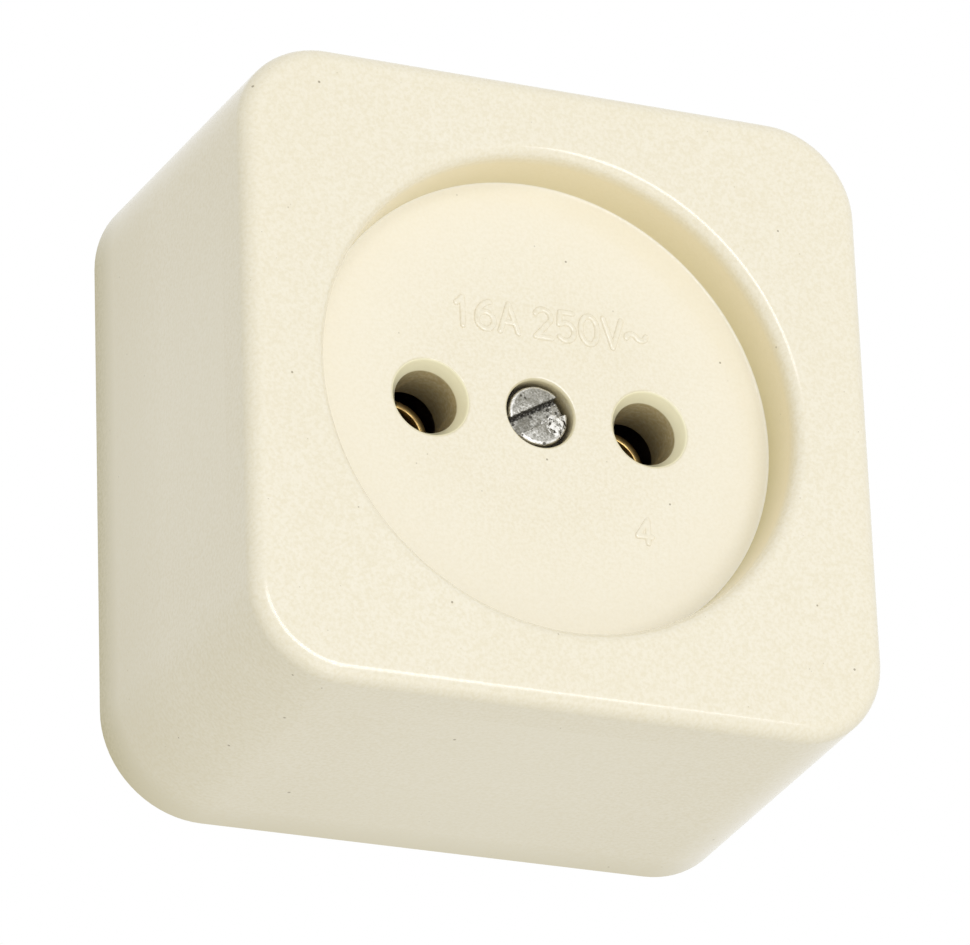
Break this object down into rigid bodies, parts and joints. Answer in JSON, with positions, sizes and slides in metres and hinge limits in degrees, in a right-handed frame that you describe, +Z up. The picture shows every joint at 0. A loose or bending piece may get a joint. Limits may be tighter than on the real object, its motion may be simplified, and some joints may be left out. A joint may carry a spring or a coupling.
{
  "type": "surface mounted socket",
  "caption": "Square surface mounted wall socket with a round plug recess, two pin holes and a slotted cover screw, on a dark base with brass contacts.",
  "frame": {"origin": "centre of the back face, which lies on the wall", "axes": "+Z up, -Y out of the wall towards the room, +X to the right for someone who faces the socket"},
  "size_m": [0.0558, 0.0304, 0.0558],
  "materials": {
    "ivory_moulding": "glossy ivory thermoset moulding, a little aged",
    "dark_moulding": "dark brown thermoset moulding, satin",
    "plated_screw": "worn nickel plate",
    "spring_steel": "blank spring steel",
    "contact_brass": "tarnished brass"
  },
  "bodies": {
    "root": {"cover": "ivory_moulding", "base": "dark_moulding", "cover_screw": "plated_screw", "captive_washer": "spring_steel", "threaded_insert": "contact_brass", "contact_sleeve_left": "contact_brass", "contact_sleeve_right": "contact_brass", "ring_spring_left": "spring_steel", "ring_spring_right": "spring_steel", "terminal_strip_left": "contact_brass", "terminal_strip_right": "contact_brass", "terminal_screw_left": "plated_screw", "terminal_screw_right": "plated_screw", "saddle_washer_left": "contact_brass", "saddle_washer_right": "contact_brass", "square_nut_left": "plated_screw", "square_nut_right": "plated_screw", "fixing_screw_left": "plated_screw", "fixing_screw_right": "plated_screw", "lock_washer_left": "spring_steel", "lock_washer_right": "spring_steel"}
  },
  "joints": []
}
